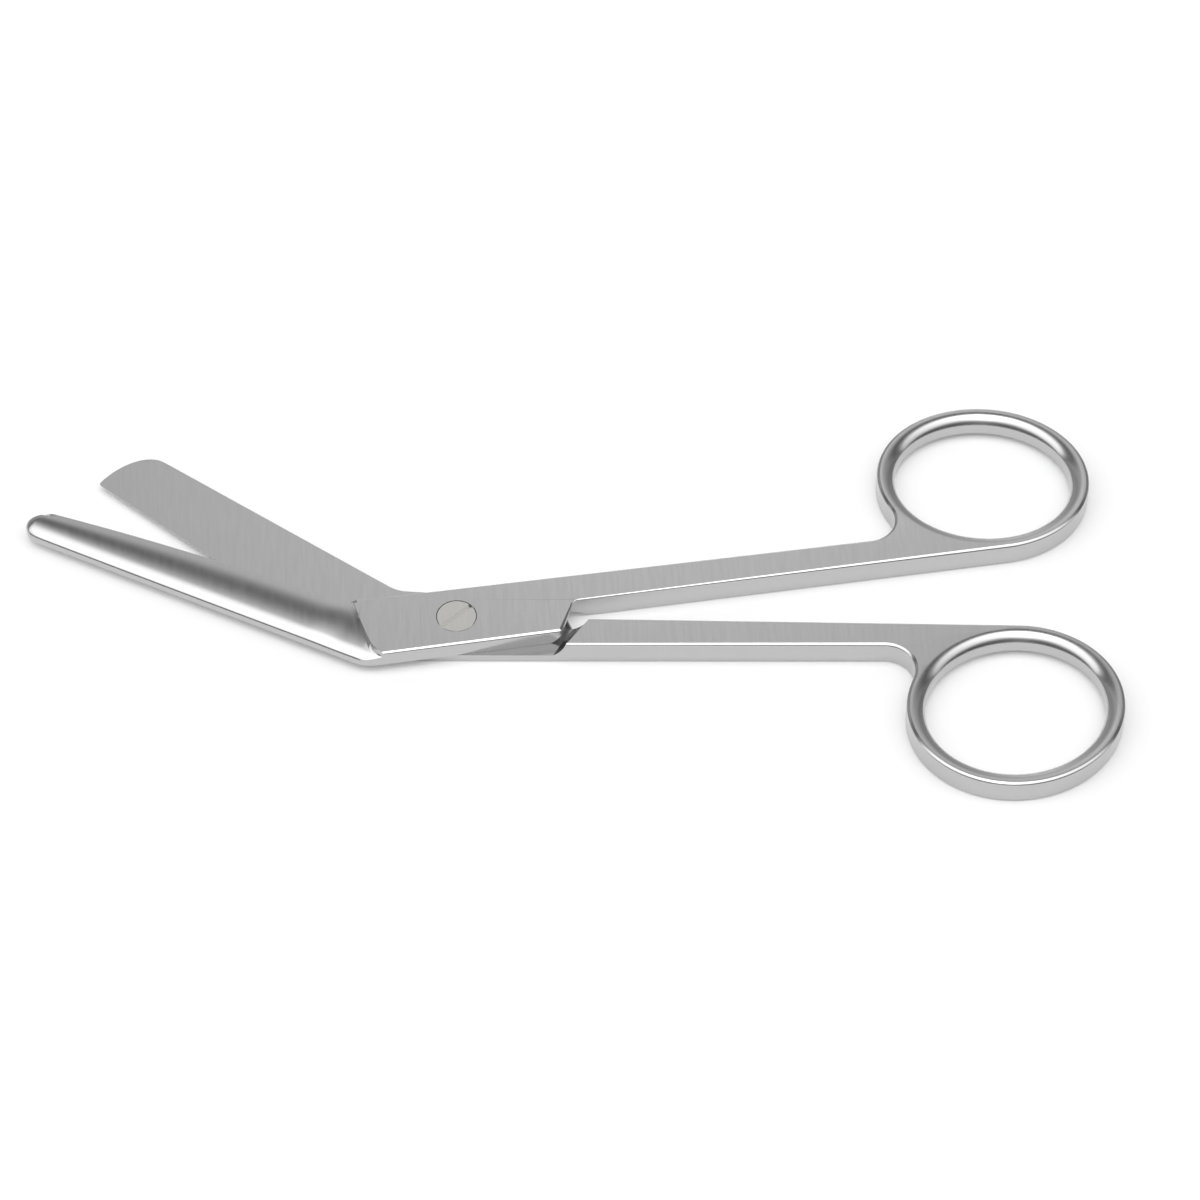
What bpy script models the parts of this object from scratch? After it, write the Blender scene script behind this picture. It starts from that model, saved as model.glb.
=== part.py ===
"""Bent episiotomy scissors, 145 mm long: two forged halves and the pivot screw that joins them.

Metres, +Z up. The part lies on its lower half. The origin is on the pivot axis at the underside,
and +X runs towards the finger rings, half-way between the two shanks.

Both halves come from one function. Each is drawn closed and with its outer face up: the shank lies
beside the X axis on the +Y side, and the lap of the joint is cut from below. The lower half is then
turned over about the X axis, and each half is swung open by half of the opening angle.
"""

import math

import bmesh
import bpy
from mathutils import Vector

MM = 0.001

# Sizes that both halves share
THICKNESS = 3.6 * MM
OPENING = math.radians(10.0)
JOINT_GAP = 0.2 * MM

BOX_REACH = 13.5 * MM
BOX_BACK = 4.85 * MM
BOX_END_LEAN = math.radians(24.8)
BOX_CORNER = 0.5 * MM
NOTCH_ROUND = 0.6 * MM

EDGE_ROUND = 0.4 * MM
INNER_EDGE_ROUND = 0.15 * MM
BLADE_EDGE_ROUND = 0.2 * MM
WEB_FILLET = 3.9 * MM

RING_LENGTH = 29.1 * MM
RING_RIM = 2.45 * MM
RING_INNER_RUN = 1.75 * MM
RING_INNER_DROP = 1.35 * MM

# The sloped shoulder behind each lap, and the undercut end of the box that faces it when closed
SHOULDER_GAP_INSIDE = 2.15 * MM
SHOULDER_GAP_OUTSIDE = 1.1 * MM
SHOULDER_RUN_INSIDE = 2.3 * MM
SHOULDER_RUN_OUTSIDE = 1.7 * MM
SHOULDER_FOOT_SLOPE = math.radians(20.0)
SHOULDER_TOP_SLOPE = math.radians(70.0)
BOX_UNDERCUT = 1.65 * MM
BOX_END_LAND = 0.3 * MM
SHOULDER_SPREAD = 1.3

# The ground back of a blade, from its spine to its cutting edge
EDGE_LAND = 0.18 * MM
NOSE_ROUND = 1.2 * MM
SPINE_RUN = 1.8 * MM
SPINE_ROUND = 0.25 * MM
CREST_FLAT = 0.6 * MM
LEAST_BEVEL = 0.05
BEVEL_FADE_START = 4.0 * MM
BEVEL_FADE_END = 9.5 * MM

# Where the grinding runs out on the box
GRIND_LEAD = 12.0 * MM
GRIND_START = 0.25 * MM
GRIND_LEAN = 0.1
GRIND_RISE = 0.8
GRIND_SOFTNESS = 0.3 * MM

# The countersunk pivot screw
SCREW_HEAD_RADIUS = 2.7 * MM
SCREW_HEAD_RIM = 0.35 * MM
SCREW_CONE_DEPTH = 1.0 * MM
SCREW_SHANK_RADIUS = 1.6 * MM
SCREW_CHAMFER = 0.1 * MM
SCREW_CLEARANCE = 0.17 * MM
SLOT_WIDTH = 0.65 * MM
SLOT_DEPTH = 0.5 * MM
SLOT_TURN = math.radians(38.6)

# Sizes of each half. A blade with a negative bend turns away from the side of its own shank.
UPPER = {
    "lap": 2.2 * MM,
    "outer_at_pivot": 4.75 * MM,
    "outer_at_ring": 4.15 * MM,
    "inner_edge": 0.15 * MM,
    "spine_root": (-13.1 * MM, -4.85 * MM),
    "spine_fillet": 5.0 * MM,
    "back_slope": 0.22,
    "spine_slope": 0.47,
    "bend": math.radians(35.0),
    "blade_length": 52.8 * MM,
    "width_at_root": 7.77 * MM,
    "width_at_tip": 4.68 * MM,
    "edge_bow": 0.9 * MM,
    "nose_length": 2.8 * MM,
    "nose_edge_length": 5.0 * MM,
    "nose_peak": 0.42,
    "edge_fillet": 7.5 * MM,
    "edge_bevel": 0.9 * MM,
    "crest_at_root": 2.2 * MM,
    "crest_at_tip": 1.9 * MM,
    "ring_centre": 74.8 * MM,
    "ring_gap": -0.05 * MM,
    "ring_width": 25.65 * MM,
    "ring_lean": math.radians(-12.3),
}
LOWER = {
    "lap": THICKNESS - JOINT_GAP - UPPER["lap"],
    "outer_at_pivot": 4.9 * MM,
    "outer_at_ring": 4.37 * MM,
    "inner_edge": 0.25 * MM,
    "spine_root": (-8.3 * MM, -6.25 * MM),
    "spine_fillet": 5.0 * MM,
    "back_slope": 0.06,
    "spine_slope": 0.25,
    "bend": math.radians(-34.6),
    "blade_length": 45.05 * MM,
    "width_at_root": 11.5 * MM,
    "width_at_tip": 8.35 * MM,
    "edge_bow": 0.0 * MM,
    "nose_length": 4.8 * MM,
    "nose_edge_length": 0.4 * MM,
    "nose_peak": 0.95,
    "edge_fillet": 3.0 * MM,
    "edge_bevel": 0.5 * MM,
    "crest_at_root": 1.2 * MM,
    "crest_at_tip": 1.0 * MM,
    "ring_centre": 74.0 * MM,
    "ring_gap": 0.6 * MM,
    "ring_width": 26.65 * MM,
    "ring_lean": math.radians(-21.3),
}

# Fineness of the faces
ARC_STEP = math.radians(10.0)
RING_STEPS = 56
NOSE_STEPS = 6
NOSE_STATIONS = 12
EDGE_STATIONS = 8
ROUND_STEPS = 2
RING_ROUND_STEPS = 4
SHOULDER_STEPS = 6
GRIND_STATIONS = 32
SPINE_STEPS = 6
CREST_STEPS = 4
SCREW_STEPS = 40
REACH = 90.0 * MM
OVERCUT = 1.0 * MM


def turned(vector):
    """The vector turned a quarter to the right."""
    return Vector((vector.y, -vector.x))


def crossing(point, direction, other_point, other_direction):
    """Where two lines of the plan cross."""
    share = (other_point - point).cross(other_direction) / direction.cross(other_direction)
    return point + direction * share


def arc(middle, start, end):
    """Points from start to end on the shorter arc about the middle."""
    first = start - middle
    last = end - middle
    turn = first.angle(last)
    steps = max(2, math.ceil(turn / ARC_STEP))
    points = []
    for step in range(steps + 1):
        share = step / steps
        along = first * math.sin((1.0 - share) * turn) + last * math.sin(share * turn)
        points.append(middle + along / math.sin(turn))
    return points


def rounded_corner(before, corner, after, radius):
    """The arc that rounds a corner between two straight edges."""
    back = (before - corner).normalized()
    onward = (after - corner).normalized()
    half_angle = back.angle(onward) / 2.0
    middle = corner + (back + onward).normalized() * (radius / math.sin(half_angle))
    reach = radius / math.tan(half_angle)
    return arc(middle, corner + back * reach, corner + onward * reach)


class Ellipse:
    """A leaning ellipse of a finger ring."""

    def __init__(self, centre, length, width, lean):
        self.centre = centre
        self.half_length = length / 2.0
        self.half_width = width / 2.0
        self.axis = Vector((math.cos(lean), math.sin(lean)))
        self.side = Vector((-math.sin(lean), math.cos(lean)))

    def point(self, angle):
        along = self.axis * (self.half_length * math.cos(angle))
        return self.centre + along + self.side * (self.half_width * math.sin(angle))

    def normal(self, angle):
        along = self.axis * (self.half_width * math.cos(angle))
        return (along + self.side * (self.half_length * math.sin(angle))).normalized()

    def tangent_angle(self, point):
        """Where a straight line from the point touches the lower side of the ellipse."""
        away = point - self.centre
        flat = Vector((away.dot(self.axis) / self.half_length, away.dot(self.side) / self.half_width))
        return math.atan2(flat.y, flat.x) % math.tau + math.acos(1.0 / flat.length)


def ring_of(half):
    """The outer edge of the finger ring, with its lowest point at the half's ring gap."""
    lean = half["ring_lean"]
    rise = math.hypot(RING_LENGTH * math.sin(lean), half["ring_width"] * math.cos(lean)) / 2.0
    centre = Vector((half["ring_centre"], half["ring_gap"] + rise))
    return Ellipse(centre, RING_LENGTH, half["ring_width"], lean)


def web_of(ring, line_point, line_direction):
    """The fillet between the ring and the outer edge of the shank: its angle on the ring and middle."""
    upward = -turned(line_direction)
    high = math.radians(90.0)
    low = math.radians(225.0)
    for _ in range(40):
        angle = (high + low) / 2.0
        middle = ring.point(angle) + ring.normal(angle) * WEB_FILLET
        if (middle - line_point).dot(upward) > WEB_FILLET:
            high = angle
        else:
            low = angle
    return angle, middle, middle - upward * WEB_FILLET


def blade_point(half, along, across):
    """A point of the plan from its distances along the spine and across the blade."""
    axis = Vector((-math.cos(half["bend"]), math.sin(half["bend"])))
    return Vector(half["spine_root"]) + axis * along + turned(axis) * across


def blade_width(half, along):
    """The width of the blade, square to its spine."""
    share = along / half["blade_length"]
    bow = max(0.0, 4.0 * share * (1.0 - share)) * half["edge_bow"]
    return half["width_at_root"] + (half["width_at_tip"] - half["width_at_root"]) * share + bow


def nose_reach(half, across):
    """How far along the spine the nose reaches at a distance across the blade."""
    width = blade_width(half, half["blade_length"])
    peak = half["nose_peak"] * width
    if across > peak:
        length = half["nose_edge_length"]
        away = (across - peak) / (width - peak)
    else:
        length = half["nose_length"]
        away = (peak - across) / peak
    return half["blade_length"] - length * (1.0 - math.sqrt(max(0.0, 1.0 - away * away)))


def nose(half):
    """The rounded end of the blade, from its cutting edge to its spine."""
    width = blade_width(half, half["blade_length"])
    peak = half["nose_peak"] * width
    sides = ((half["nose_edge_length"], width - peak, 1.0), (half["nose_length"], peak, -1.0))
    points = []
    for length, half_width, side in sides:
        for step in range(NOSE_STEPS + 1):
            angle = math.radians(90.0) * step / NOSE_STEPS
            if side < 0.0:
                angle = math.radians(90.0) - angle
            along = half["blade_length"] - length * (1.0 - math.sin(angle))
            points.append(blade_point(half, along, peak + side * half_width * math.cos(angle)))
    del points[NOSE_STEPS]
    return points


def outline(half):
    """The plan of a half, counter-clockwise, as points and the rounding of the edge at each."""
    ring = ring_of(half)
    outer_start = Vector((0.0, half["outer_at_pivot"]))
    outer_end = Vector((half["ring_centre"] - RING_LENGTH / 2.0, half["outer_at_ring"]))
    outer_direction = (outer_start - outer_end).normalized()

    box_corner = Vector((BOX_REACH, -BOX_BACK))
    spine_root = Vector(half["spine_root"])
    end_rise = half["inner_edge"] + BOX_BACK
    notch = Vector((BOX_REACH + end_rise * math.tan(BOX_END_LEAN), half["inner_edge"]))
    touch = ring.tangent_angle(notch)
    web_angle, web_middle, web_foot = web_of(ring, outer_end, -outer_direction)

    tip = nose(half)
    root = blade_point(half, 0.0, blade_width(half, 0.0))
    further = blade_point(half, half["edge_fillet"], blade_width(half, half["edge_fillet"]))
    edge_corner = crossing(outer_end, outer_direction, root, further - root)
    edge_arc = rounded_corner(web_foot, edge_corner, further, half["edge_fillet"])
    axis = blade_point(half, 1.0, 0.0) - blade_point(half, 0.0, 0.0)
    fillet_end = (edge_arc[-1] - spine_root).dot(axis)
    edge = []
    for station in range(1, EDGE_STATIONS):
        reach = half["blade_length"] - half["nose_edge_length"] - fillet_end
        along = fillet_end + reach * station / EDGE_STATIONS
        edge.append(blade_point(half, along, blade_width(half, along)))

    ring_points = []
    for step in range(RING_STEPS + 1):
        angle = touch + (web_angle + math.tau - touch) * step / RING_STEPS
        ring_points.append(ring.point(angle))

    stretches = [
        (rounded_corner(spine_root, box_corner, notch, BOX_CORNER), INNER_EDGE_ROUND),
        (rounded_corner(box_corner, notch, ring.point(touch), NOTCH_ROUND), INNER_EDGE_ROUND),
        (ring_points, EDGE_ROUND),
        (arc(web_middle, ring.point(web_angle), web_foot)[1:], EDGE_ROUND),
        (edge_arc, EDGE_ROUND),
        (edge, BLADE_EDGE_ROUND),
        (tip, BLADE_EDGE_ROUND),
        (rounded_corner(tip[-1], spine_root, box_corner, half["spine_fillet"]), EDGE_ROUND),
    ]
    points = []
    rounds = []
    for stretch, rounding in stretches:
        points.extend(stretch)
        rounds.extend([rounding] * len(stretch))
    return points, rounds


def inset(points, amounts):
    """Each point of a counter-clockwise loop moved inwards by its own amount."""
    moved = []
    for index, point in enumerate(points):
        before = (point - points[index - 1]).normalized()
        after = (points[(index + 1) % len(points)] - point).normalized()
        inward = -turned(before + after).normalized()
        stretch = inward.dot(-turned(after))
        moved.append(point + inward * (amounts[index] / stretch))
    return moved


def edge_profile(steps):
    """The rounding of an edge from the flat face to the wall, as shares of its radius."""
    profile = []
    for step in range(steps + 1):
        angle = math.radians(90.0) * step / steps
        profile.append((1.0 - math.sin(angle), 1.0 - math.cos(angle)))
    return profile


def wall(bm, points, rounds, steps, steepness=1.0):
    """The side wall round a loop, with its lower and upper edges rounded.

    The rounds are the runs of the rounding in the plan, and its drop is the steepness times the run.
    """
    levels = [(side, height, 1.0) for side, height in edge_profile(steps)]
    levels += [(side, height, -1.0) for side, height in reversed(edge_profile(steps))]
    loops = []
    for side, height, direction in levels:
        loop = []
        base = 0.0 if direction > 0.0 else THICKNESS
        for point, rounding in zip(inset(points, [side * r for r in rounds]), rounds):
            level = base + direction * height * steepness * rounding
            loop.append(bm.verts.new((point.x, point.y, level)))
        loops.append(loop)
    for lower, upper in zip(loops, loops[1:]):
        for index in range(len(lower)):
            corners = (lower[index - 1], lower[index], upper[index], upper[index - 1])
            bm.faces.new(corners)


def loft(bm, sections):
    """A closed solid through sections that have the same number of points."""
    rings = [[bm.verts.new(point) for point in section] for section in sections]
    for near, far in zip(rings, rings[1:]):
        for index in range(len(near)):
            bm.faces.new((near[index - 1], near[index], far[index], far[index - 1]))
    bm.faces.new(rings[0])
    bm.faces.new(rings[-1])


def add_object(name, bm, material):
    """A mesh object from a finished bmesh, with smooth faces and sharp corners."""
    bmesh.ops.recalc_face_normals(bm, faces=bm.faces)
    mesh = bpy.data.meshes.new(name)
    bm.to_mesh(mesh)
    bm.free()
    mesh.shade_smooth()
    mesh.set_sharp_from_angle(angle=math.radians(30.0))
    if material is not None:
        mesh.materials.append(material)
    result = bpy.data.objects.new(name, mesh)
    bpy.context.scene.collection.objects.link(result)
    return result


def cut(target, name, bm):
    """Takes a solid away from the target with a Boolean, and hides the cutter.

    Both meshes are closed, and this solver leaves no open edge where two cuts run into each other.
    """
    bmesh.ops.triangulate(bm, faces=bm.faces)
    cutter = add_object(name, bm, None)
    cutter.hide_render = True
    cutter.display_type = "WIRE"
    cutter.parent = target
    boolean = target.modifiers.new(name, "BOOLEAN")
    boolean.operation = "DIFFERENCE"
    boolean.solver = "MANIFOLD"
    boolean.object = cutter


def keep_flats_flat(target):
    """Shades the flat faces flat where they meet a rounded edge."""
    weighted = target.modifiers.new("weighted_normals", "WEIGHTED_NORMAL")
    weighted.keep_sharp = True


def turned_solid(profile, steps):
    """A bmesh solid turned about Z from (radius, height) pairs that start and end on the axis."""
    bm = bmesh.new()
    verts = [bm.verts.new((radius, 0.0, height)) for radius, height in profile]
    edges = [bm.edges.new(pair) for pair in zip(verts, verts[1:])]
    bmesh.ops.spin(bm, geom=verts + edges, cent=(0, 0, 0), axis=(0, 0, 1), angle=math.tau,
                   steps=steps, use_merge=True)
    bmesh.ops.remove_doubles(bm, verts=bm.verts, dist=0.001 * MM)
    return bm


def blank(half):
    """The forged blank: the whole plan at full thickness, with the finger hole."""
    bm = bmesh.new()
    points, rounds = outline(half)
    wall(bm, points, rounds, ROUND_STEPS)

    ring = ring_of(half)
    hole = Ellipse(ring.centre, RING_LENGTH - 2.0 * RING_RIM, half["ring_width"] - 2.0 * RING_RIM,
                   half["ring_lean"])
    hole_points = [hole.point(-math.tau * step / RING_STEPS) for step in range(RING_STEPS)]
    wall(bm, hole_points, [RING_INNER_RUN] * RING_STEPS, RING_ROUND_STEPS,
         RING_INNER_DROP / RING_INNER_RUN)

    for level in (0.0, THICKNESS):
        rim = [edge for edge in bm.edges if edge.is_boundary
               and all(abs(vert.co.z - level) < THICKNESS / 4.0 for vert in edge.verts)]
        bmesh.ops.triangle_fill(bm, edges=rim, use_beauty=True)
    return bm


def shoulder_curve():
    """The hollow slope of a shoulder, as shares of its run and of its height."""
    first = SHOULDER_FOOT_SLOPE
    last = SHOULDER_TOP_SLOPE
    shares = []
    for step in range(SHOULDER_STEPS + 1):
        angle = first + (last - first) * step / SHOULDER_STEPS
        along = (math.sin(angle) - math.sin(first)) / (math.sin(last) - math.sin(first))
        rise = (math.cos(first) - math.cos(angle)) / (math.cos(first) - math.cos(last))
        shares.append((along, rise))
    return shares


def lap_cutter(half):
    """What the joint takes from the inner face: the lap, up to the slope of its shoulder."""
    depth = THICKNESS - half["lap"]
    sections = []
    spread = BOX_BACK * SHOULDER_SPREAD
    for side in (-REACH, -spread, spread, REACH):
        place = max(-spread, min(spread, side))
        outwards = place / BOX_BACK
        box_end = BOX_REACH + (BOX_BACK - place) * math.tan(BOX_END_LEAN)
        gap = SHOULDER_GAP_INSIDE + (SHOULDER_GAP_OUTSIDE - SHOULDER_GAP_INSIDE) * outwards
        run = SHOULDER_RUN_INSIDE + (SHOULDER_RUN_OUTSIDE - SHOULDER_RUN_INSIDE) * outwards
        top = box_end + gap
        section = [(-REACH, side, -OVERCUT), (-REACH, side, depth)]
        for along, rise in shoulder_curve():
            section.append((top - run * (1.0 - along), side, depth * (1.0 - rise)))
        section.append((top, side, -OVERCUT))
        sections.append(section)
    bm = bmesh.new()
    loft(bm, sections)
    return bm


def box_end_cutter(half):
    """What leaves the end of the box undercut, to face the other half's shoulder."""
    lap_face = THICKNESS - half["lap"]
    rise_height = half["lap"] - BOX_END_LAND
    beyond = OVERCUT / 10.0
    sections = []
    for side in (-BOX_BACK - OVERCUT, half["inner_edge"]):
        end = BOX_REACH + (side + BOX_BACK) * math.tan(BOX_END_LEAN) + beyond
        section = [(end - BOX_UNDERCUT, side, lap_face - OVERCUT)]
        for along, rise in shoulder_curve():
            place = end - BOX_UNDERCUT * (1.0 - along)
            section.append((place, side, lap_face + rise_height * rise))
        section.append((end + OVERCUT, side, lap_face + rise_height))
        section.append((end + OVERCUT, side, lap_face - OVERCUT))
        sections.append(section)
    bm = bmesh.new()
    loft(bm, sections)
    return bm


def smooth_share(value, start, end):
    """Rises from nought at the start to one at the end, level at both."""
    share = max(0.0, min(1.0, (value - start) / (end - start)))
    return share * share * (3.0 - 2.0 * share)


def back_profile(half, along):
    """The ground back of the blade at one station: distances from the spine and heights over the flat."""
    length = half["blade_length"]
    width = blade_width(half, along)
    crest = half["crest_at_root"]
    crest += (half["crest_at_tip"] - half["crest_at_root"]) * max(0.0, along / length)
    bevelled = smooth_share(along, BEVEL_FADE_START, BEVEL_FADE_END)
    edge_height = crest + (EDGE_LAND - crest) * bevelled
    top_edge = width - half["edge_bevel"] * max(LEAST_BEVEL, bevelled)

    span = max(0.1 * MM, top_edge - CREST_FLAT - SPINE_RUN)
    back_slope = half["back_slope"]
    extra_slope = half["spine_slope"] - back_slope
    profile = []
    for step in range(SPINE_STEPS + 1):
        across = SPINE_RUN * (step / SPINE_STEPS) ** 2
        left = SPINE_RUN - across
        fall = back_slope * (span / 2.0 + left) + extra_slope * left * left / (2.0 * SPINE_RUN)
        corner = max(0.0, 1.0 - across / SPINE_ROUND)
        fall += SPINE_ROUND * (1.0 - math.sqrt(1.0 - corner * corner))
        profile.append((across, crest - fall))
    land = profile[0][1]
    profile.insert(0, (-2.0 * OVERCUT, land))
    for step in range(1, CREST_STEPS + 1):
        left = 1.0 - step / CREST_STEPS
        height = crest - back_slope * span / 2.0 * left * left
        profile.append((top_edge - CREST_FLAT - span * left, height))
    profile.append((top_edge, crest))
    profile.append((width, edge_height))
    profile.append((width + 2.0 * OVERCUT, edge_height))

    sunk = []
    for across, height in profile:
        past = max(0.0, (along - nose_reach(half, across)) / NOSE_ROUND + 1.0)
        sink = math.sqrt(max(0.0, 1.0 - past * past))
        sunk.append((across, min(height, land + (height - land) * sink)))
    return sunk


def lift(half, place):
    """How far the grinding wheel has risen out of the blade where it runs out on the box."""
    start = half["spine_root"][0] + GRIND_START - GRIND_LEAN * place.y
    past = max(0.0, place.x - start)
    if past < GRIND_SOFTNESS:
        return GRIND_RISE * past * past / (2.0 * GRIND_SOFTNESS)
    return GRIND_RISE * (past - GRIND_SOFTNESS / 2.0)


def grind_cutter(half):
    """What the grinding takes from the blade: its rounded spine, its domed back and the bevel."""
    lap_face = THICKNESS - half["lap"]
    ceiling = THICKNESS + 4.0 * OVERCUT
    nose_length = max(half["nose_length"], half["nose_edge_length"]) + NOSE_ROUND
    nose_start = half["blade_length"] - nose_length
    straight = nose_start + GRIND_LEAD
    stations = [straight * step / GRIND_STATIONS - GRIND_LEAD for step in range(GRIND_STATIONS)]
    for step in range(NOSE_STATIONS + 1):
        angle = math.radians(90.0) * step / NOSE_STATIONS
        stations.append(nose_start + nose_length * math.sin(angle))
    stations.append(half["blade_length"] + OVERCUT)

    sections = []
    for along in stations:
        profile = back_profile(half, along)
        section = []
        for across, over in profile:
            place = blade_point(half, along, across)
            height = lap_face + over + lift(half, place)
            section.append((place.x, place.y, min(height, ceiling - OVERCUT)))
        for across in (profile[-1][0], profile[0][0]):
            place = blade_point(half, along, across)
            section.append((place.x, place.y, ceiling))
        sections.append(section)
    bm = bmesh.new()
    loft(bm, sections)
    return bm


def screw_hole(head_up):
    """The countersunk hole of the upper half, or the plain hole that the screw is driven into."""
    shank = SCREW_SHANK_RADIUS + SCREW_CLEARANCE
    if not head_up:
        return turned_solid([(0.0, THICKNESS + OVERCUT), (shank, THICKNESS + OVERCUT),
                             (shank, -OVERCUT), (0.0, -OVERCUT)], SCREW_STEPS)
    head = SCREW_HEAD_RADIUS + SCREW_CLEARANCE
    rim = THICKNESS - SCREW_HEAD_RIM
    return turned_solid([(0.0, THICKNESS + OVERCUT), (head, THICKNESS + OVERCUT), (head, rim),
                         (shank, rim - SCREW_CONE_DEPTH), (shank, -OVERCUT), (0.0, -OVERCUT)],
                        SCREW_STEPS)


def make_half(name, half, head_up, material):
    """One half of the scissors, drawn closed with its outer face up."""
    result = add_object(name, blank(half), material)
    cut(result, name + "_lap", lap_cutter(half))
    cut(result, name + "_box_end", box_end_cutter(half))
    cut(result, name + "_grind", grind_cutter(half))
    cut(result, name + "_hole", screw_hole(head_up))
    keep_flats_flat(result)
    return result


def make_screw(material):
    """The slotted countersunk screw: flush with the upper face, its end flush with the underside."""
    chamfered = SCREW_HEAD_RADIUS - SCREW_CHAMFER
    rim = THICKNESS - SCREW_HEAD_RIM
    profile = [
        (0.0, THICKNESS),
        (chamfered, THICKNESS),
        (SCREW_HEAD_RADIUS, THICKNESS - SCREW_CHAMFER),
        (SCREW_HEAD_RADIUS, rim),
        (SCREW_SHANK_RADIUS, rim - SCREW_CONE_DEPTH),
        (SCREW_SHANK_RADIUS, 0.0),
        (0.0, 0.0),
    ]
    screw = add_object("pivot_screw", turned_solid(profile, SCREW_STEPS), material)

    slot = bmesh.new()
    bmesh.ops.create_cube(slot, size=1.0)
    slot_size = Vector((4.0 * SCREW_HEAD_RADIUS, SLOT_WIDTH, 2.0 * SLOT_DEPTH))
    bmesh.ops.scale(slot, vec=slot_size, verts=slot.verts)
    bmesh.ops.translate(slot, vec=(0.0, 0.0, THICKNESS), verts=slot.verts)
    cut(screw, "screw_slot", slot)
    screw.rotation_euler = (0.0, 0.0, SLOT_TURN)
    return screw


def steel(name, shade, roughness):
    """A stainless steel with its shade and roughness."""
    material = bpy.data.materials.new(name)
    material.use_nodes = True
    shader = material.node_tree.nodes["Principled BSDF"]
    shader.inputs["Base Color"].default_value = (shade, shade, shade, 1.0)
    shader.inputs["Metallic"].default_value = 1.0
    shader.inputs["Roughness"].default_value = roughness
    return material


def main():
    for item in list(bpy.data.objects):
        bpy.data.objects.remove(item, do_unlink=True)

    upper = make_half("upper_half", UPPER, True, steel("satin_upper", 0.60, 0.30))
    upper.rotation_euler = (0.0, 0.0, OPENING / 2.0)

    lower = make_half("lower_half", LOWER, False, steel("satin_lower", 0.58, 0.32))
    lower.location = (0.0, 0.0, THICKNESS)
    lower.rotation_euler = (math.pi, 0.0, -OPENING / 2.0)

    make_screw(steel("polished_screw", 0.62, 0.22))


main()
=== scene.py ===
"""Episiotomy scissors, dressed: satin-ground halves, a polished pivot screw and a pale studio.

The two halves and the screw take the place of the plain CAD solids and keep their form. They are
drawn again from the same sizes with finer faces, and with ground and rounded edges that catch the
light as the photograph's do.
"""

import math

import bmesh
import bpy
from mathutils import Euler, Matrix, Vector


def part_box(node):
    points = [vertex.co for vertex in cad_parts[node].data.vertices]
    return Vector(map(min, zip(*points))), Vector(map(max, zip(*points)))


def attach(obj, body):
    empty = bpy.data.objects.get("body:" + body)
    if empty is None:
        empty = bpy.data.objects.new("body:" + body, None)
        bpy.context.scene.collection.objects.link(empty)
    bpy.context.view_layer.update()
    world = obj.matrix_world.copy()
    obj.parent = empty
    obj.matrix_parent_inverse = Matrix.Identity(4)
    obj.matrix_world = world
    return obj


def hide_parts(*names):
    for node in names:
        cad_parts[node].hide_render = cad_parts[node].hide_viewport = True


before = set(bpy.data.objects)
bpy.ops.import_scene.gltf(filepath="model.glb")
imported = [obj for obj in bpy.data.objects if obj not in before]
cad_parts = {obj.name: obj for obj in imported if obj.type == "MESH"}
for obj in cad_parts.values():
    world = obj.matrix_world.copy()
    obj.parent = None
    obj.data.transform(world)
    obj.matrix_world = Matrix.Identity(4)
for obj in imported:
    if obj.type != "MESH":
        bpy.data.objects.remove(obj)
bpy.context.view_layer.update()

bl_info = {
    "name": "Episiotomy scissors",
    "version": (1, 0, 0),
    "blender": (4, 5, 0),
    "location": "3D View > Sidebar > Scissors",
    "description": "Bent scissors with satin-ground halves on a slotted pivot screw",
    "category": "Object",
}

MM = 0.001

# Sizes that both halves share. The thickness is that of the frame, and the laps all but touch.
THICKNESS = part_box("pivot_screw")[1].z
OPENING = math.radians(10.0)
JOINT_GAP = 0.02 * MM

BOX_REACH = 13.5 * MM
BOX_BACK = 4.85 * MM
BOX_END_LEAN = math.radians(24.8)
BOX_CORNER = 0.5 * MM
NOTCH_ROUND = 1.2 * MM

# The run of each edge's rounding in the plan. That of the box stays under the box's own corner, or
# its upper edge would close to a point there.
EDGE_ROUND = 0.45 * MM
BOX_EDGE_ROUND = 0.44 * MM
SPINE_CORNER_ROUND = 0.35 * MM
INNER_EDGE_ROUND = 0.15 * MM
BLADE_EDGE_ROUND = 0.12 * MM

# The form of that rounding: the slope it is ground to, and the shares of its run that the blend out
# of the flat face and the slope take. The rest is round.
EDGE_SLOPE = math.radians(22.0)
EDGE_BLEND = 0.13
EDGE_BEVEL = 0.45

# The finger rings: the fillet to the shank, and where on the ring's angle it is looked for
WEB_FILLET = 3.9 * MM
WEB_SEARCH = (math.radians(90.0), math.radians(225.0))
WEB_HALVINGS = 40
RING_LENGTH = 29.1 * MM
RING_RIM = 2.45 * MM
RING_INNER_RUN = 1.75 * MM
RING_INNER_DROP = 1.35 * MM

# The sloped shoulder behind each lap, and the undercut end of the box that faces it when closed
SHOULDER_GAP_INSIDE = 2.15 * MM
SHOULDER_GAP_OUTSIDE = 1.1 * MM
SHOULDER_RUN_INSIDE = 2.3 * MM
SHOULDER_RUN_OUTSIDE = 1.7 * MM
SHOULDER_FOOT_SLOPE = math.radians(20.0)
SHOULDER_TOP_SLOPE = math.radians(70.0)
BOX_UNDERCUT = 1.65 * MM
BOX_END_LAND = 0.3 * MM
SHOULDER_SPREAD = 1.3

# How far a cutter reaches past what it cuts, and past the end of the box
REACH = 90.0 * MM
OVERCUT = 1.0 * MM
BOX_END_OVERCUT = 0.1 * MM

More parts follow.
